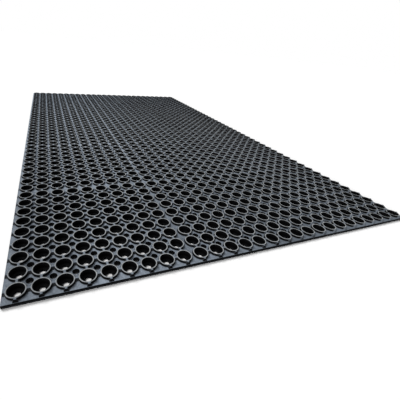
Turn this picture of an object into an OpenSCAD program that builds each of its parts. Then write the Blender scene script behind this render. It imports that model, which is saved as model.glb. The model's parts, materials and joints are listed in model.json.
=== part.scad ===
// Rubber ring mat for standing work: fifteen square panels of moulded rings,
// joined edge to edge in five bands of three, that fold up along the four cross seams.
// Millimetres, +Z up. The origin is on the floor under the middle of the mat,
// X runs along the short front edge and Y runs from the front edge to the back edge.

/* [Layout] */
// Panels along the short side
panels_x = 3; // [1:1:3]
// Panels along the long side
panels_y = 5; // [1:1:5]
// Rings along each side of a panel
rings = 9; // [3:1:12]
// Distance between neighbouring ring centres
pitch = 33.7; // [32:0.1:40]
// Width of plain web past the ring grid on the mat's outer edges
border_lip = 2.25; // [1.5:0.25:8]
// Clearance between two bands at a fold
fold_gap = 0.3; // [0.2:0.05:0.6]

/* [Heights] */
// Whole thickness of the mat
mat_h = 12.7; // [10:0.1:20]
// Height of the web's upper face above the floor
web_top = 7.6; // [6:0.1:8.5]
// Height of the web's lower face above the floor
web_bottom = 3.1; // [2.5:0.1:5]
// Clearance under the outer skirt, where water runs out
skirt_clear = 1; // [0.5:0.1:2]

/* [Rings] */
// Outside diameter of a ring
ring_od = 29.4; // [26:0.1:31]
// Diameter of a ring's open hole at the rim
hole_d = 23.8; // [18:0.1:25]
// Diameter of the same hole on top of the flange at its foot
bore_d = 22; // [16:0.1:25]
// Diameter of the opening inside the flange
flange_d = 10.4; // [8:0.1:16]
// Height of the flange
flange_h = 4.2; // [2:0.1:6]
// Width of the bridges between neighbouring rings
bridge_w = 4.2; // [2:0.1:6]
// Reach of a bridge stub from its ring's centre on the outer edges
stub_reach = 17.7; // [15.6:0.1:18]

/* [Web] */
// Diameter of the small drain holes between four rings
drain_d = 12; // [8:0.1:14]
// Diameter of the same holes at the web's lower face
drain_foot_d = 5; // [3:0.1:8]
// Width of the skirt that hangs from the outer edges
skirt_w = 2.4; // [1.5:0.1:3.5]

/* [Hidden] */
$fn = 48;
// Overshoot of the cutters
over = 1;
last = rings - 1;
panel_size = rings * pitch;
half = panel_size / 2;
// Distance of the outermost ring centres from the panel's middle
grid = last * pitch / 2;

// Bands from front to back, and places in a band from left to right
band_names = ["front", "near", "middle", "far", "back"];
place_names = ["left", "centre", "right"];
function panel_name(row, col) = str(band_names[row], "_", place_names[col], "_panel");

// Which sides of a panel lie on the mat's outer edge
function is_left(col) = col == 0;
function is_right(col) = col == panels_x - 1;
function is_front(row) = row == 0;
function is_back(row) = row == panels_y - 1;

// Distance of a panel's sides from its middle: a lip is added on the mat's outer edges,
// and half of the clearance is taken off at a fold
function seam_side(outer) = half + (outer ? border_lip : 0);
function fold_side(outer) = half + (outer ? border_lip : -fold_gap / 2);

function ring_at(k) = k * pitch - grid;

// Plan of a panel, grown by one amount on the mat's outer edges and another on its seams
module panel_plan(row, col, outer_grow = 0, seam_grow = 0) {
    left = seam_side(is_left(col)) + (is_left(col) ? outer_grow : seam_grow);
    right = seam_side(is_right(col)) + (is_right(col) ? outer_grow : seam_grow);
    front = fold_side(is_front(row)) + (is_front(row) ? outer_grow : seam_grow);
    back = fold_side(is_back(row)) + (is_back(row) ? outer_grow : seam_grow);
    translate([-left, -front])
        square([left + right, front + back]);
}

// Plan of the bridge stubs round a panel's edge: they meet across the folds, end short of
// the mat's outer edges, and are left out on the seams inside a band
module edge_stubs(row, col) {
    front = is_front(row) ? stub_reach : pitch;
    back = is_back(row) ? stub_reach : pitch;
    for (k = [0 : last]) {
        translate([ring_at(k) - bridge_w / 2, -grid - front])
            square([bridge_w, front]);
        translate([ring_at(k) - bridge_w / 2, grid])
            square([bridge_w, back]);
        if (is_left(col))
            translate([-grid - stub_reach, ring_at(k) - bridge_w / 2])
                square([stub_reach, bridge_w]);
        if (is_right(col))
            translate([grid, ring_at(k) - bridge_w / 2])
                square([stub_reach, bridge_w]);
    }
}

// Plan of the sunk strip round a panel's edge, outside its outermost rings and their stubs
module edge_strip(row, col) {
    difference() {
        panel_plan(row, col, over, over);
        square(2 * grid + bridge_w, center = true);
        for (k = [0 : last])
            for (side = [-grid, grid]) {
                translate([ring_at(k), side])
                    circle(d = ring_od);
                translate([side, ring_at(k)])
                    circle(d = ring_od);
            }
        edge_stubs(row, col);
    }
}

// Plan of one sunk pocket between four rings and the bridges that join them
module pocket() {
    difference() {
        square(pitch - bridge_w, center = true);
        for (x = [-1, 1])
            for (y = [-1, 1])
                translate([x, y] * pitch / 2)
                    circle(d = ring_od);
    }
}

// Cutter for a ring's open hole: a bore that narrows downwards to the flange at the ring's foot,
// and the opening inside that flange
module ring_hole() {
    draft = (hole_d - bore_d) / (mat_h - flange_h);
    translate([0, 0, flange_h])
        cylinder(d1 = bore_d, d2 = hole_d + over * draft, h = mat_h - flange_h + over);
    translate([0, 0, -over])
        cylinder(d = flange_d, h = flange_h + 2 * over);
}

// Cutter for a drain hole, which narrows downwards through the web
module drain_hole() {
    depth = web_top - web_bottom;
    taper = (drain_d - drain_foot_d) / depth;
    translate([0, 0, web_bottom - over])
        cylinder(d1 = drain_foot_d - over * taper, d2 = drain_d + over * taper, h = depth + 2 * over);
}

// Plan of the hollow under the web: the ring walls stand in it as feet, and it stops at the skirt
module underside_hollow(row, col) {
    difference() {
        panel_plan(row, col, -skirt_w, over);
        for (i = [0 : last])
            for (j = [0 : last])
                translate([ring_at(i), ring_at(j)])
                    circle(d = ring_od);
    }
}

// Plan of the skirt along the mat's outer edges
module skirt_plan(row, col) {
    difference() {
        panel_plan(row, col, over, over);
        panel_plan(row, col, -skirt_w, 2 * over);
    }
}

// One moulded panel about its own middle
module panel_solid(row, col) {
    difference() {
        linear_extrude(mat_h)
            panel_plan(row, col);
        translate([0, 0, web_top])
            linear_extrude(mat_h)
                edge_strip(row, col);
        for (i = [0 : last - 1])
            for (j = [0 : last - 1])
                translate([ring_at(i + 0.5), ring_at(j + 0.5), 0]) {
                    translate([0, 0, web_top])
                        linear_extrude(mat_h)
                            pocket();
                    drain_hole();
                }
        translate([0, 0, -over])
            linear_extrude(web_bottom + over)
                underside_hollow(row, col);
        if (is_left(col) || is_right(col) || is_front(row) || is_back(row))
            translate([0, 0, -over])
                linear_extrude(skirt_clear + over)
                    skirt_plan(row, col);
        for (i = [0 : last])
            for (j = [0 : last])
                translate([ring_at(i), ring_at(j), 0])
                    ring_hole();
    }
}

// A panel in its place in the mat
module panel(row, col) {
    x = (col - (panels_x - 1) / 2) * panel_size;
    y = (row - (panels_y - 1) / 2) * panel_size;
    color("#2b2e32")
        translate([x, y, 0])
            panel_solid(row, col);
}

for (row = [0 : panels_y - 1])
    for (col = [0 : panels_x - 1])
        panel(row, col);
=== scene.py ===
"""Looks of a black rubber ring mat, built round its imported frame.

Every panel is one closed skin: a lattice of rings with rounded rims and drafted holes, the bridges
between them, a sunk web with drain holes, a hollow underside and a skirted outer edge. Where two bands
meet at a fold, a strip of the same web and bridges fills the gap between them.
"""

import json
import math

import bpy
import numpy as np
from mathutils import Matrix, Vector


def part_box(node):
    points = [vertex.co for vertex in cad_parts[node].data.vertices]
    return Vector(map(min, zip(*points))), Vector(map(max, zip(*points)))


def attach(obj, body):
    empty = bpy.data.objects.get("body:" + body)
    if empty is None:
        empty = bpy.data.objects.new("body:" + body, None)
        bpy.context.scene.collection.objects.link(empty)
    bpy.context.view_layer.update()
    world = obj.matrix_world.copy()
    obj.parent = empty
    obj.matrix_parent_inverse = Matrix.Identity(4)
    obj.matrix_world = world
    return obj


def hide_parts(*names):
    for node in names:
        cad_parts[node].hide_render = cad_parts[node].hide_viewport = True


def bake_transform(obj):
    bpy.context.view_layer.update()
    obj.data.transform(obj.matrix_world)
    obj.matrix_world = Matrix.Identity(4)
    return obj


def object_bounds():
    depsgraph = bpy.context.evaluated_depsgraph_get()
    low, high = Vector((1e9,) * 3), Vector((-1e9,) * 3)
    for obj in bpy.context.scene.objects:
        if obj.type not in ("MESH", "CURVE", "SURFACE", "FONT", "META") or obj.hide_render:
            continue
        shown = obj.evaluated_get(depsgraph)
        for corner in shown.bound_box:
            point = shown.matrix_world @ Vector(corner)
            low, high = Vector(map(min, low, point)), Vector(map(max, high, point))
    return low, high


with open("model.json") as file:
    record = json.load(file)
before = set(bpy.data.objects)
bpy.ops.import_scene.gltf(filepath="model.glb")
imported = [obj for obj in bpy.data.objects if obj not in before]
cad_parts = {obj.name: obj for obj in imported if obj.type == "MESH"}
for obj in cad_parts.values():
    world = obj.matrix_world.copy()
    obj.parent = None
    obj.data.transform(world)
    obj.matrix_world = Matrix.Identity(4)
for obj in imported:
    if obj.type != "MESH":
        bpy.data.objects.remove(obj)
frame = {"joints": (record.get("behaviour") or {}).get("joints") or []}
cad_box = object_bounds()

# The mat's layout: bands from front to back, places in a band from left to right
BANDS = ["front", "near", "middle", "far", "back"]
PLACES = ["left", "centre", "right"]
RINGS = 9

# Sizes in millimetres. The pitch, the thickness and the outer lip come from the frame
MM = 0.001
middle_low, middle_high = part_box("middle_centre_panel")
PANEL = (middle_high.x - middle_low.x) / MM
PITCH = PANEL / RINGS
HALF = PITCH / 2
MAT_H = cad_box[1].z / MM
MAT_SIDE = cad_box[1].x / MM
LIP_REACH = MAT_SIDE - len(PLACES) * PANEL / 2 + HALF
LIP_ROUND = 0.6
LIP_SHOULDER = 0.3 * LIP_ROUND
WEB_TOP = 7.6
WEB_BOTTOM = 3.1
WEB_FILLET = 0.5
SKIRT_BOTTOM = 1.0
SKIRT_W = 2.4
SKIRT_REACH = LIP_REACH - SKIRT_W
RING_R = 14.7
RIM_ROUND = 1.1
HOLE_R = 11.9
BORE_R = 11.0
FLANGE_R = 5.2
FLANGE_H = 4.2
FLANGE_ROUND = 0.6
FOOT_DRAFT = 0.2
DRAIN_R = 6.0
DRAIN_FOOT_R = 2.5
STUB_REACH = 17.1
STUB_FOOT = 18.4
BRIDGE_TOP = 1.6
BRIDGE_FOOT = 4.0
STRIP_HALF = 1.2
STRIP_STEPS = 8

# A cell's outline has eight points on each side, at these places along it, and three on each corner
ARC = HALF - DRAIN_R
SIDE_MIDWAY = 6.6
SIDE_PLACES = np.array([-ARC, -SIDE_MIDWAY, -BRIDGE_FOOT, -BRIDGE_TOP,
                        BRIDGE_TOP, BRIDGE_FOOT, SIDE_MIDWAY, ARC])
ON_BRIDGE = np.abs(SIDE_PLACES) == BRIDGE_TOP
SIDE_POINTS = len(SIDE_PLACES)
CORNER_POINTS = 3
# A corner's middle point lies this many stations before the next side's first
CORNER_MIDDLE = (CORNER_POINTS + 1) // 2
PER_QUARTER = SIDE_POINTS + CORNER_POINTS
STATIONS = 4 * PER_QUARTER

# The ring's profile, as radius and height: from its foot over the flange, up the bore, over the rim and
# down to the web
SHOULDER = RIM_ROUND * (1 - math.sqrt(0.5))
BORE_DRAFT = (HOLE_R - BORE_R) / (MAT_H - FLANGE_H)
RING_PROFILE = np.array([
    [FLANGE_R, 0],
    [FLANGE_R, FLANGE_H - FLANGE_ROUND],
    [FLANGE_R + FLANGE_ROUND, FLANGE_H],
    [BORE_R, FLANGE_H],
    [HOLE_R - BORE_DRAFT * RIM_ROUND, MAT_H - RIM_ROUND],
    [HOLE_R + SHOULDER, MAT_H - SHOULDER],
    [HOLE_R + RIM_ROUND, MAT_H],
    [RING_R - RIM_ROUND, MAT_H],
    [RING_R - SHOULDER, MAT_H - SHOULDER],
    [RING_R, MAT_H - RIM_ROUND],
    [RING_R, WEB_TOP + WEB_FILLET],
    [RING_R + WEB_FILLET, WEB_TOP],
])
# Under the web the ring's wall goes down to its foot
FOOT_PROFILE = np.array([[RING_R + FOOT_DRAFT, WEB_BOTTOM], [RING_R - FOOT_DRAFT, 0]])
# A skin's rows are the ring's profile, the web's upper and lower edge, and the foot
WEB_EDGE = len(RING_PROFILE)
ROWS = WEB_EDGE + 2 + len(FOOT_PROFILE)
# The two rows of the profile that bound the rim's level top
RIM_ROWS = [6, 7]
# On a bridge the rows from this one out to the web's upper edge stay at the rim's height
FIRST_BRIDGED = 8

# How much dust can lie on each row of the skin and on a bridge, and how much shoes have polished each row.
# The dust's pale mark is also a painted sheen on level tops, and the polish is also a painted highlight
DUST_AND_SHEEN = np.zeros(ROWS)
DUST_AND_SHEEN[RIM_ROWS] = 0.3
# The web's row next to the ring's foot gets less of the pale mark than the web's outline: painted shade at
# the foot
DUST_AND_SHEEN[WEB_EDGE - 1] = 0.75
DUST_AND_SHEEN[WEB_EDGE] = 1.1
BRIDGE_DUST_AND_SHEEN = 0.9
POLISH_AND_HIGHLIGHT = np.zeros(ROWS)
POLISH_AND_HIGHLIGHT[RIM_ROWS] = 1
# Dust and the painted sheen slide off a face that is steeper than the first of these, and lie fully on
# one flatter than the last, both as the upward part of the face's normal. Away from the spot of least
# sheen, the second stands for the first, so that the painted sheen reaches steep faces too
DUST_AND_SHEEN_STARTS = 0.35
SHEEN_STARTS_AWAY = -1.5
DUST_AND_SHEEN_FULL = 0.95
# A painted sheen is least near this spot in front of the mat's left part. Between these distances from
# the spot the pale dust mark grows by this share, as painted sheen
LEAST_SHEEN_SPOT = np.array([-360, -1000])
SPOT_NEAR = 380
SPOT_FAR = 900
AWAY_SHEEN = 0.7
# Towards the back end, between these places along the mat, the pale dust mark grows by the first share as
# painted sheen, and the polish with its painted highlight falls by the second
BACK_STARTS = -150
BACK_FULL = 750
BACK_SHEEN = 0.7
BACK_POLISH_AND_HIGHLIGHT = 0.8
# On the long sides this share of the dust with its painted sheen and of the polish with its painted
# highlight is left, which darkens the sides, and they are whole this far inside
SIDE_SHARE = 0.68
SIDE_FADE = 170
# Towards the right, between these places across the mat, the pale dust mark falls to this share, as
# painted shade
RIGHT_STARTS = -350
RIGHT_FULL = 200
RIGHT_SHADE_SHARE = 0.42
# A face with less dust and painted sheen than this at all its corners is bare
BARE_BELOW = 0.01

# The outer edge's profile, as reach and height: the stub's end, the web, the rounded lip and the skirt
EDGE_PROFILE = np.array([
    [STUB_REACH, WEB_TOP],
    [STUB_FOOT, WEB_TOP],
    [LIP_REACH - LIP_ROUND, WEB_TOP],
    [LIP_REACH - LIP_SHOULDER, WEB_TOP - LIP_SHOULDER],
    [LIP_REACH, WEB_TOP - LIP_ROUND],
    [LIP_REACH, SKIRT_BOTTOM],
    [SKIRT_REACH, SKIRT_BOTTOM],
    [SKIRT_REACH, WEB_BOTTOM],
])
# The lip's rows of this profile, and how much dust, with a painted sheen of level tops, can lie on each of
# its rows
LIP_ROWS = slice(2, 5)
EDGE_DUST_AND_SHEEN = np.array([1, 1, 1, 0.3, 0, 0, 0, 0])
# The quads that close this profile flat where a side ends at a seam. Two of them are triangles
EDGE_END = np.array([[1, 2, 3, 4], [1, 4, 6, 7], [4, 5, 6, 6], [0, 1, 7, 7]])
# The marks of a face that closes an end: no dust and no painted sheen, no polish and no painted highlight,
# and the map's far corner
CLOSED_MARKS = [0, 0, 1, 1]

# Distance of a cell's sides from its ring's axis, above and below the web
TOP_REACH = {"inner": HALF, "seam": HALF, "fold": HALF - STRIP_HALF, "edge": STUB_REACH}
UNDER_REACH = {**TOP_REACH, "edge": SKIRT_REACH}

# Each cell has a square of the map, with its rows and then an outer edge's up the square, and this share of
# the square is used
MAP_ROWS = ROWS + len(EDGE_PROFILE)
MAP_SHARE = 0.97

# Points that agree to this many decimal places of a millimetre are one
MERGE_DIGITS = 3
# Stands in for a quad's area of zero, which can't be divided by
TINY = 1e-9
# Faces that meet at more than this many degrees have a sharp edge
SHARP_ANGLE = 58

# Sizes of the rubber's patterns in millimetres. The mould's grain is finer than this on a real mat, and is
# drawn as coarse as it needs to show
GRAIN_SIZE = 1.1
GRAIN_DEPTH = 0.2
BLACK_CLOUD = 20
DUST_CLOUD = 70
DUST_SPECK = 3
# Rubber's index of refraction
RUBBER_IOR = 1.52

# Light at a plain level: the even fill, the key from the back left and the low lamp from the front left
# together light a level white face to about white
FILL_LEVEL = 0.15
KEY = {"power": 2.2, "elevation": 57, "heading": 318, "spread": 30}
FRONT = {"power": 2.6, "elevation": 17, "heading": 228, "spread": 25}
# The floor's whiteness to the eye, and to the light that it throws back
FLOOR_SHOWN = 1.05
FLOOR_BOUNCE = 0.4
# The floor's size in metres, and how far it lies under the mat
FLOOR_SIZE = 60
FLOOR_DROP = 0.05 * MM

# The photograph's camera: its place and nearest sight in metres, where it points, and how far the picture
# was cropped to the right
PHOTO_WIDTH = 400
SENSOR_MM = 36
FOCAL_PX = 252.94
CROP_PX = 45.1
CAMERA_PLACE = Vector((-0.3607, -1.0259, 0.3291))
CAMERA_HEADING = math.radians(23.46)
CAMERA_DIP = math.radians(31.59)
CAMERA_ROLL = math.radians(6.15)
CAMERA_NEAREST = 0.01


def turned(plan, quarter):
    """Plan points turned about the ring's axis by a number of quarter turns."""
    c, s = [(1, 0), (0, 1), (-1, 0), (0, -1)][quarter % 4]
    x, y = plan[..., 0], plan[..., 1]
    return np.stack([c * x - s * y, s * x + c * y], -1)


def ring_angles():
    """Directions of the stations from the ring's axis. A bridge's points leave the ring's wall at the
    arcsine of their offset over its radius, the other points of a side lie towards their place on the
    cell's outline, and a corner's points divide the angle between two sides evenly."""
    near = np.abs(SIDE_PLACES) <= BRIDGE_FOOT
    side = np.where(near, np.arcsin(SIDE_PLACES * near / RING_R), np.arctan2(SIDE_PLACES, HALF))
    corner = np.linspace(side[-1], math.pi / 2 - side[-1], CORNER_POINTS + 2)[1:-1]
    quarters = np.arange(4)[:, None] * math.pi / 2
    return (quarters + np.append(side, corner)).ravel()


def cell_outline(reach, drains, drain_r):
    """Plan of a cell's outline, one point per station. A side is a straight line at its reach from the
    axis. A corner with a drain hole is a quarter of the hole's circle, taken clockwise, and one without is
    square."""
    sweep = 1.5 * math.pi - np.arange(1, CORNER_POINTS + 1) * math.pi / 2 / (CORNER_POINTS + 1)
    hole = HALF + drain_r * np.stack([np.cos(sweep), np.sin(sweep)], -1)
    ends = np.where(drains, HALF - drain_r, ARC)
    quarters = []
    for quarter, out in enumerate(reach):
        after = reach[(quarter + 1) % 4]
        along = np.hstack([-ends[quarter - 1], SIDE_PLACES[1:-1], ends[quarter]])
        side = np.stack([np.full(SIDE_POINTS, out), along], -1)
        square = np.array([[out, (ARC + after) / 2], [out, after], [(ARC + out) / 2, after]])
        corner = hole if drains[quarter] else square
        quarters.append(turned(np.vstack([side, corner]), quarter))
    return np.vstack(quarters)


def grid_quads(columns, rows):
    """Columns and rows of the four corners of each of a grid's quads, counted column by column."""
    c, r = np.meshgrid(np.arange(columns), np.arange(rows), indexing="ij")
    across = np.stack([c, c, c + 1, c + 1], -1).reshape(-1, 4)
    up = np.stack([r, r + 1, r + 1, r], -1).reshape(-1, 4)
    return across, up


def cell_skin(kinds):
    """Skin of one cell about its ring's axis: points, quads, and for each corner of a quad its marks, which
    are its dust with painted sheen, its polish with painted highlight and its place on the map.

    A point is a function of a station round the ring and a row of the skin. The first rows turn the ring's
    profile about the axis, the next two follow the cell's outline above and below the web, and the last two
    are the ring's foot. Where a bridge leaves the ring, the rows outside the rim stay at the rim's height.
    kinds says what each side meets, from +X counter-clockwise: an inner cell, a seam, a fold or the mat's
    outer edge."""
    angles = ring_angles()
    around = np.stack([np.cos(angles), np.sin(angles)], -1)[:, None]
    drains = np.array([kinds[q] == kinds[(q + 1) % 4] == "inner" for q in range(4)])
    outline = cell_outline([TOP_REACH[k] for k in kinds], drains, DRAIN_R)
    under_outline = cell_outline([UNDER_REACH[k] for k in kinds], drains, DRAIN_FOOT_R)
    points = np.empty((STATIONS, ROWS, 3))
    points[:, :WEB_EDGE, :2] = around * RING_PROFILE[:, :1]
    points[:, :WEB_EDGE, 2] = RING_PROFILE[:, 1]
    points[:, WEB_EDGE, :2] = outline
    points[:, WEB_EDGE, 2] = WEB_TOP
    points[:, WEB_EDGE + 1, :2] = under_outline
    points[:, WEB_EDGE + 1, 2] = WEB_BOTTOM
    points[:, WEB_EDGE + 2:, :2] = around * FOOT_PROFILE[:, :1]
    points[:, WEB_EDGE + 2:, 2] = FOOT_PROFILE[:, 1]

    off_corner = np.zeros(CORNER_POINTS, bool)
    bridged = np.concatenate([np.append(ON_BRIDGE & (k != "seam"), off_corner) for k in kinds])
    lifted = np.ix_(bridged, np.arange(FIRST_BRIDGED, WEB_EDGE + 1))
    points[..., 2][lifted] = MAT_H
    dust = np.tile(DUST_AND_SHEEN, (STATIONS, 1))
    dust[lifted] = BRIDGE_DUST_AND_SHEEN
    polish_and_highlight = np.tile(POLISH_AND_HIGHLIGHT, (STATIONS, 1))
    polish_and_highlight[lifted] = 0

    # The web is closed between its upper and lower edge only round a drain hole and along a seam, with
    # bare walls
    across, up = grid_quads(STATIONS, ROWS)
    quads = across % STATIONS * ROWS + up % ROWS
    station = np.arange(STATIONS)
    at_drain = drains[station // PER_QUARTER] & (station % PER_QUARTER >= SIDE_POINTS - 1)
    meets_seam = np.array([k in ("seam", "fold") for k in kinds])
    at_seam = meets_seam[(station + CORNER_MIDDLE) // PER_QUARTER % 4]
    keep = np.ones((STATIONS, ROWS), bool)
    keep[:, WEB_EDGE] = at_drain | at_seam
    keep = keep.ravel()
    marks = np.stack([dust.ravel()[quads], polish_and_highlight.ravel()[quads], across / STATIONS, up / MAP_ROWS], -1)
    marks[up[:, 0] == WEB_EDGE, :, :2] = 0
    skin = [[points.reshape(-1, 3)], [quads[keep]], [marks[keep]]]
    for quarter in range(4):
        if kinds[quarter] == "edge":
            add_outer_edge(skin, kinds, quarter, outline, bridged)
    return [np.concatenate(part) for part in skin]


def add_outer_edge(skin, kinds, quarter, outline, bridged):
    """Adds a cell's outer edge to its skin: the edge's profile carried along the side's stations, from the
    middle of one corner to the middle of the next, with a stub's sloped end face where a bridge stops
    short, mitred against another outer edge, and closed flat at a seam."""
    side = np.arange(-CORNER_MIDDLE, PER_QUARTER - CORNER_MIDDLE + 1)
    stations = (side + quarter * PER_QUARTER) % STATIONS
    columns, rows = len(stations), len(EDGE_PROFILE)
    points = np.empty((columns, rows, 3))
    points[..., 0] = EDGE_PROFILE[:, 0]
    points[..., 1] = turned(outline[stations], -quarter)[:, 1:]
    points[..., 2] = EDGE_PROFILE[:, 1]
    points[bridged[stations], 0, 2] = MAT_H
    points[bridged[stations], 1, 1] *= BRIDGE_FOOT / BRIDGE_TOP
    first = sum(len(part) for part in skin[0])
    across, up = grid_quads(columns - 1, rows - 1)
    quads = first + across * rows + up
    map_across = (across / columns + quarter) / 4
    map_up = (up + ROWS) / MAP_ROWS
    marks = np.stack([EDGE_DUST_AND_SHEEN[up], 0 * up, map_across, map_up], -1)
    for end, beside, sign in (0, 1, -1), (columns - 1, columns - 2, 1):
        neighbour = kinds[(quarter + sign) % 4]
        if neighbour == "edge":
            points[end, :, 1] = sign * EDGE_PROFILE[:, 0]
            points[beside, :, 1] = sign * (ARC + EDGE_PROFILE[:, 0]) / 2
        elif neighbour != "inner":
            closing = first + end * rows + EDGE_END[:, ::sign]
            quads = np.vstack([quads, closing])
            marks = np.vstack([marks, np.tile(CLOSED_MARKS, (len(closing), 4, 1))])
    points[..., :2] = turned(points[..., :2], quarter)
    for part, more in zip(skin, [points.reshape(-1, 3), quads, marks]):
        part.append(more)


def smooth_step(value, low, high):
    """0 below low and 1 above high, and s * s * (3 - 2 * s) between them, where s is the share of the
    way."""
    share = np.clip((value - low) / (high - low), 0, 1)
    return share ** 2 * (3 - 2 * share)


def dust_and_polish(points, quads):
    """Shares of the dust with its painted sheen and shade, and of the polish with its painted highlight,
    that a quad can have, two for each quad.

    Both fade from a level face to a steep one, by a smooth step in the upward part of the normal, which is
    the cross product of the quad's diagonals, and both are thinner along the long sides. With the distance
    from the spot of least sheen, the pale mark grows as painted sheen and reaches steeper faces. It also
    grows towards the back end as painted sheen and falls towards the right as painted shade, and polish with
    its painted highlight falls towards the back end."""
    corners = points[quads]
    normal = np.cross(corners[:, 2] - corners[:, 0], corners[:, 3] - corners[:, 1])
    upward = np.abs(normal[:, 2]) / np.maximum(np.linalg.norm(normal, axis=1), TINY)
    place = corners.mean(1)[:, :2]
    # Painted sheen grows with the distance from its least spot
    away = smooth_step(np.linalg.norm(place - LEAST_SHEEN_SPOT, axis=1), SPOT_NEAR, SPOT_FAR)
    inside = smooth_step(MAT_SIDE - np.abs(place[:, 0]), 0, SIDE_FADE)
    # Painted sheen grows towards the back end
    back = smooth_step(place[:, 1], BACK_STARTS, BACK_FULL)
    # Painted shade towards the right
    right = smooth_step(place[:, 0], RIGHT_STARTS, RIGHT_FULL)
    level = smooth_step(upward, DUST_AND_SHEEN_STARTS + (SHEEN_STARTS_AWAY - DUST_AND_SHEEN_STARTS) * away, DUST_AND_SHEEN_FULL)
    level *= SIDE_SHARE + (1 - SIDE_SHARE) * inside
    dust = (1 + AWAY_SHEEN * away + BACK_SHEEN * back) * (1 - (1 - RIGHT_SHADE_SHARE) * right)
    polish_and_highlight = 1 - BACK_POLISH_AND_HIGHLIGHT * back
    return level[:, None] * np.stack([dust, polish_and_highlight], -1)


def merged(points, quads, marks):
    """Gives the marks their shares of dust with painted sheen and of polish with painted highlight, merges
    points that lie within a micrometre, drops the quads that this leaves with no area and makes triangles of
    those with two equal corners. Returns points, faces, which of those are bare, and their corners' marks."""
    shares = dust_and_polish(points, quads)
    marks = np.concatenate([marks[..., :2] * shares[:, None], marks[..., 2:]], -1)
    rounded = np.round(points, MERGE_DIGITS)
    _, kept, number = np.unique(rounded, axis=0, return_index=True, return_inverse=True)
    quads = number.ravel()[quads]
    doubled = quads == np.roll(quads, -1, axis=1)
    whole = doubled.sum(1) == 0
    cut = doubled.sum(1) == 1
    single = ~doubled[cut]
    faces = quads[whole].tolist() + quads[cut][single].reshape(-1, 3).tolist()
    bare = marks[..., 0].max(1) < BARE_BELOW
    bare = np.concatenate([bare[whole], bare[cut]])
    marks = np.concatenate([marks[whole].reshape(-1, 4), marks[cut][single]])
    return points[kept], faces, bare, marks


def panel_skin(row, col):
    """Skin of a whole panel in its place. Its cells are copies of nine kinds of cell, by whether they lie
    first, between or last along each direction, moved to their rings and merged where they meet."""
    last = RINGS - 1
    between = np.arange(1, last)
    left = "edge" if col == 0 else "seam"
    right = "edge" if col == len(PLACES) - 1 else "seam"
    front = "edge" if row == 0 else "fold"
    back = "edge" if row == len(BANDS) - 1 else "fold"
    across = [([0], left, "inner"), (between, "inner", "inner"), ([last], "inner", right)]
    along = [([0], front, "inner"), (between, "inner", "inner"), ([last], "inner", back)]
    panel = [[], [], []]
    count = 0
    for i_cells, to_left, to_right in across:
        for j_cells, to_front, to_back in along:
            points, quads, marks = cell_skin([to_right, to_back, to_left, to_front])
            i, j = (n.ravel() for n in np.meshgrid(i_cells, j_cells))
            moves = np.stack([i - last / 2, j - last / 2, 0 * i], -1) * PITCH
            numbers = count + len(points) * np.arange(len(i))
            marks = np.tile(marks, (len(i), 1, 1, 1))
            squares = np.stack([i, j], -1)[:, None, None]
            marks[..., 2:] = (marks[..., 2:] * MAP_SHARE + squares) / RINGS
            count += len(points) * len(i)
            panel[0].append((points + moves[:, None]).reshape(-1, 3))
            panel[1].append((quads + numbers[:, None, None]).reshape(-1, 4))
            panel[2].append(marks.reshape(-1, 4, 4))
    points, quads, marks = (np.concatenate(part) for part in panel)
    centre = np.array([col - (len(PLACES) - 1) / 2, row - (len(BANDS) - 1) / 2, 0]) * PANEL
    return merged(points + centre, quads, marks)


def strip_skin(seam_y):
    """Skin of the strip that crosses a fold: the seam's section, which is the line of web and bridges across
    the whole mat, out over the lips, and the line below it, carried from one side of the fold to the other
    in even steps."""
    rings = len(PLACES) * RINGS
    centres = (np.arange(rings) - (rings - 1) / 2) * PITCH
    x = (centres[:, None] + SIDE_PLACES).ravel()
    z = np.tile(np.where(ON_BRIDGE, MAT_H, WEB_TOP), rings)
    # Two points lie over the skirt's inner face, the first with the web below it and the second the skirt
    lip = np.vstack([[[SKIRT_REACH, WEB_TOP]] * 2, EDGE_PROFILE[LIP_ROWS]]) + [centres[-1], 0]
    lip_low = [WEB_BOTTOM] + [SKIRT_BOTTOM] * (len(lip) - 1)
    top = np.vstack([lip[::-1] * [-1, 1], np.stack([x, z], -1), lip])
    low = np.concatenate([lip_low[::-1], np.full(len(x), WEB_BOTTOM), lip_low])
    under = np.stack([top[:, 0], low], -1)
    section = np.vstack([top, under[::-1]])
    count = len(section)
    lines = STRIP_STEPS + 1
    points = np.empty((count, lines, 3))
    points[..., 0] = section[:, :1]
    points[..., 1] = seam_y + np.linspace(STRIP_HALF, -STRIP_HALF, lines)
    points[..., 2] = section[:, 1:]
    across, up = grid_quads(count, STRIP_STEPS)
    quads = across % count * lines + up
    on_top = (across % count < len(top)).astype(float)
    marks = np.stack([on_top, 0 * up, across / count, up / (lines + 1)], -1)
    upper = np.arange(len(top) - 1)
    lower = count - 1 - upper
    for end, flip in (0, 1), (STRIP_STEPS, -1):
        corners = np.stack([upper, upper + 1, lower - 1, lower], -1)[:, ::flip]
        quads = np.vstack([quads, corners * lines + end])
        marks = np.vstack([marks, np.tile(CLOSED_MARKS, (len(upper), 4, 1))])
    return merged(points.reshape(-1, 3), quads, marks)


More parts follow.
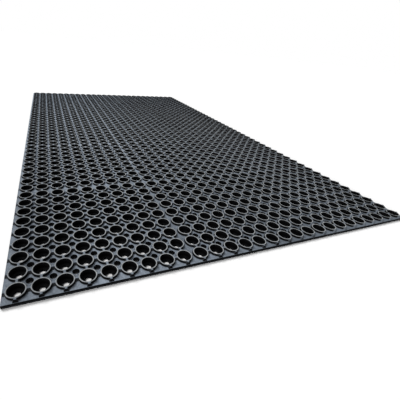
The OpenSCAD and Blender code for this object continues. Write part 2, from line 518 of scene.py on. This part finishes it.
def new_piece(name, skin):
    """A piece with a skin's mesh. Dust with painted sheen and polish with painted highlight become
    attributes of its corners, and the places its map."""
    points, faces, bare, marks = skin
    mesh = bpy.data.meshes.new(name)
    mesh.from_pydata((points * MM).tolist(), [], faces)
    marks = marks.astype(np.float32)
    for number, attribute in enumerate(["dust", "polish_and_highlight"]):
        values = mesh.attributes.new(attribute, "FLOAT", "CORNER").data
        values.foreach_set("value", marks[:, number].copy())
    mesh.uv_layers.new(name="OFBake").data.foreach_set("uv", marks[:, 2:].ravel())
    mesh.polygons.foreach_set("use_smooth", np.ones(len(mesh.polygons), bool))
    mesh.set_sharp_from_angle(angle=math.radians(SHARP_ANGLE))
    mesh.materials.append(dusty_sheened_rubber)
    mesh.materials.append(bare_rubber)
    mesh.polygons.foreach_set("material_index", bare.astype(np.int32))
    piece = bpy.data.objects.new(name, mesh)
    bpy.context.scene.collection.objects.link(piece)
    return piece


def linear(hex_colour):
    """An sRGB hex colour as linear red, green, blue and alpha."""
    parts = [int(hex_colour[i:i + 2], 16) / 255 for i in (1, 3, 5)]
    return [p / 12.92 if p <= 0.04045 else ((p + 0.055) / 1.055) ** 2.4 for p in parts] + [1]


def add(tree, kind, inputs=None, **settings):
    """Adds a node with these settings to a tree. An input is a value, or another node's output to link."""
    node = tree.nodes.new("ShaderNode" + kind)
    for name, value in settings.items():
        setattr(node, name, value)
    for name, value in (inputs or {}).items():
        if isinstance(value, bpy.types.NodeSocket):
            tree.links.new(value, node.inputs[name])
        else:
            node.inputs[name].default_value = value
    return node


def new_material(name):
    """An empty node material and its tree."""
    material = bpy.data.materials.new(name)
    material.use_nodes = True
    material.node_tree.nodes.clear()
    return material, material.node_tree


def mould_grain(tree, place):
    """Bump of the fine grain that the mould leaves, as a normal."""
    grain = add(tree, "TexNoise", {"Vector": place, "Scale": 1 / (GRAIN_SIZE * MM),
                                   "Detail": 3.0, "Roughness": 0.7})
    bump = add(tree, "Bump", {"Height": grain.outputs["Fac"], "Strength": 0.35,
                              "Distance": GRAIN_DEPTH * MM})
    return bump.outputs["Normal"]


def moulded_rubber():
    """Moulded carbon black rubber, on the walls, inside the rings and underneath: deep black and matt, with
    a fine grain and faint clouds, and greyer towards the feet, fully grey from the web's underside down."""
    material, tree = new_material("moulded_rubber")
    place = add(tree, "TexCoord").outputs["Object"]
    clouds = add(tree, "TexNoise", {"Vector": place, "Scale": 1 / (BLACK_CLOUD * MM),
                                    "Detail": 4.0, "Roughness": 0.6}).outputs["Fac"]
    black = add(tree, "Mix", {"Factor": clouds, "A": linear("#020203"), "B": linear("#070708")},
                data_type="RGBA")
    grey = add(tree, "Mix", {"Factor": clouds, "A": linear("#17181a"), "B": linear("#2b2d30")},
               data_type="RGBA")
    # Greyer with less height, between the flange's top and the web's underside
    height = add(tree, "SeparateXYZ", {"Vector": place}).outputs["Z"]
    towards_foot = add(tree, "MapRange", {"Value": height, "From Min": WEB_BOTTOM * MM,
                                     "From Max": FLANGE_H * MM, "To Min": 1.0, "To Max": 0.0})
    colour = add(tree, "Mix", {"Factor": towards_foot.outputs["Result"], "A": black.outputs["Result"],
                               "B": grey.outputs["Result"]}, data_type="RGBA")
    shader = add(tree, "BsdfPrincipled", {
        "Base Color": colour.outputs["Result"], "Roughness": 0.75, "IOR": RUBBER_IOR,
        "Specular IOR Level": 0.03, "Normal": mould_grain(tree, place)})
    add(tree, "OutputMaterial", {"Surface": shader.outputs["BSDF"]})
    return material


def dusty_moulded_rubber():
    """The same moulded rubber on top: pale dust and the grey bloom of old rubber lie on it in clouds and
    specks, and the same pale colour paints a sheen on level tops. Shoes have polished the rims paler and a
    little smoother, and the paler polish also paints a highlight on them."""
    material, tree = new_material("dusty_moulded_rubber")
    place = add(tree, "TexCoord").outputs["Object"]
    dust = add(tree, "Attribute", attribute_name="dust").outputs["Fac"]
    polish_and_highlight = add(tree, "Attribute", attribute_name="polish_and_highlight").outputs["Fac"]
    clouds = add(tree, "TexNoise", {"Vector": place, "Scale": 1 / (DUST_CLOUD * MM),
                                    "Detail": 4.0, "Roughness": 0.6})
    specks = add(tree, "TexNoise", {"Vector": place, "Scale": 1 / (DUST_SPECK * MM), "Detail": 2.0})
    cloudy = add(tree, "MapRange", {"Value": clouds.outputs["Fac"], "From Min": 0.3, "From Max": 0.7,
                                    "To Min": 0.7, "To Max": 1.0}).outputs["Result"]
    speckled = add(tree, "MapRange", {"Value": specks.outputs["Fac"], "From Min": 0.3, "From Max": 0.7,
                                      "To Min": 0.6, "To Max": 1.0}).outputs["Result"]
    patchy = add(tree, "Math", {0: cloudy, 1: speckled}, operation="MULTIPLY").outputs[0]
    dusted = add(tree, "Math", {0: dust, 1: patchy}, operation="MULTIPLY").outputs[0]
    worn_and_highlit = add(tree, "Math", {0: polish_and_highlight, 1: speckled}, operation="MULTIPLY").outputs[0]
    # Pale dust and bloom over black rubber, partly a painted sheen on level tops
    bloom_and_sheen = add(tree, "Mix", {"Factor": dusted, "A": linear("#050506"), "B": linear("#98a3b0")},
                  data_type="RGBA")
    # Polish on the rims, paler and smoother, partly a painted highlight
    colour = add(tree, "Mix", {"Factor": worn_and_highlit, "A": bloom_and_sheen.outputs["Result"], "B": linear("#b2b6b8")},
                 data_type="RGBA")
    rough = add(tree, "MapRange", {"Value": worn_and_highlit, "To Min": 0.62, "To Max": 0.5}).outputs["Result"]
    shader = add(tree, "BsdfPrincipled", {
        "Base Color": colour.outputs["Result"], "Roughness": rough, "IOR": RUBBER_IOR,
        "Specular IOR Level": 0.12, "Normal": mould_grain(tree, place)})
    add(tree, "OutputMaterial", {"Surface": shader.outputs["BSDF"]})
    return material


def camera_white(tree):
    """A factor of 1 for rays from the camera, from a reflection or through glass, and 0 for light that
    spreads."""
    path = add(tree, "LightPath").outputs
    mirrored = add(tree, "Math", {0: path["Is Glossy Ray"], 1: path["Is Transmission Ray"]},
                   operation="MAXIMUM").outputs[0]
    seen = add(tree, "Math", {0: path["Is Camera Ray"], 1: mirrored}, operation="MAXIMUM")
    return seen.outputs[0]


def pale_floor():
    """Matt white studio floor that keeps the mat's shadow. It throws less light back than it shows."""
    material, tree = new_material("pale_floor")
    shown = add(tree, "MapRange", {"Value": camera_white(tree), "To Min": FLOOR_BOUNCE,
                                   "To Max": FLOOR_SHOWN})
    matt = add(tree, "BsdfDiffuse", {"Color": shown.outputs["Result"]})
    add(tree, "OutputMaterial", {"Surface": matt.outputs["BSDF"]})
    return material


def white_world():
    """Even fill light from all round, which shows as plain white behind the object."""
    world = bpy.data.worlds.new("white_studio")
    world.use_nodes = True
    tree = world.node_tree
    tree.nodes.clear()
    strength = add(tree, "MapRange", {"Value": camera_white(tree), "To Min": FILL_LEVEL, "To Max": 1.0})
    sky = add(tree, "Background", {"Color": linear("#ffffff"), "Strength": strength.outputs["Result"]})
    add(tree, "OutputWorld", {"Surface": sky.outputs["Background"]})
    bpy.context.scene.world = world


def add_lamp(name, power, elevation, heading, spread):
    """A broad far lamp. It shines from this many degrees above the floor, heading clockwise from the mat's
    far end, and its face spreads over as many degrees of the view from the mat."""
    lamp = bpy.data.lights.new(name, "SUN")
    lamp.energy = power
    lamp.angle = math.radians(spread)
    light = bpy.data.objects.new(name, lamp)
    rise, turn = math.radians(elevation), math.radians(heading)
    back = Vector((math.sin(turn) * math.cos(rise), math.cos(turn) * math.cos(rise), math.sin(rise)))
    light.rotation_euler = back.to_track_quat("Z", "Y").to_euler()
    bpy.context.scene.collection.objects.link(light)


dusty_sheened_rubber = dusty_moulded_rubber()
bare_rubber = moulded_rubber()

for row, band in enumerate(BANDS):
    for col, place in enumerate(PLACES):
        panel = new_piece(f"{band}_{place}_rubber", panel_skin(row, col))
        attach(panel, f"{band}_band")
        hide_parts(f"{band}_{place}_panel")

for joint in frame["joints"]:
    seam = Vector(joint["pos_m"])
    strip = new_piece(f"{joint['name']}_strip", strip_skin(seam.y / MM))
    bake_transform(strip)

floor_mesh = bpy.data.meshes.new("floor")
corners = np.array([[-1, -1], [1, -1], [1, 1], [-1, 1]]) * FLOOR_SIZE / 2
floor_mesh.from_pydata([(x, y, -FLOOR_DROP) for x, y in corners], [], [(0, 1, 2, 3)])
floor_mesh.materials.append(pale_floor())
floor = bpy.data.objects.new("floor", floor_mesh)
bpy.context.scene.collection.objects.link(floor)

white_world()
add_lamp("key", **KEY)
add_lamp("front", **FRONT)

view = bpy.data.cameras.new("photo_view")
view.sensor_width = SENSOR_MM
view.lens = FOCAL_PX / PHOTO_WIDTH * SENSOR_MM
view.shift_x = CROP_PX / PHOTO_WIDTH
view.clip_start = CAMERA_NEAREST
camera = bpy.data.objects.new("photo_view", view)
turn = (Matrix.Rotation(-CAMERA_HEADING, 4, "Z") @ Matrix.Rotation(math.pi / 2 - CAMERA_DIP, 4, "X")
        @ Matrix.Rotation(CAMERA_ROLL, 4, "Z"))
camera.matrix_world = Matrix.Translation(CAMERA_PLACE) @ turn
bpy.context.scene.collection.objects.link(camera)
bpy.context.scene.camera = camera
bpy.context.scene.view_settings.view_transform = "Standard"
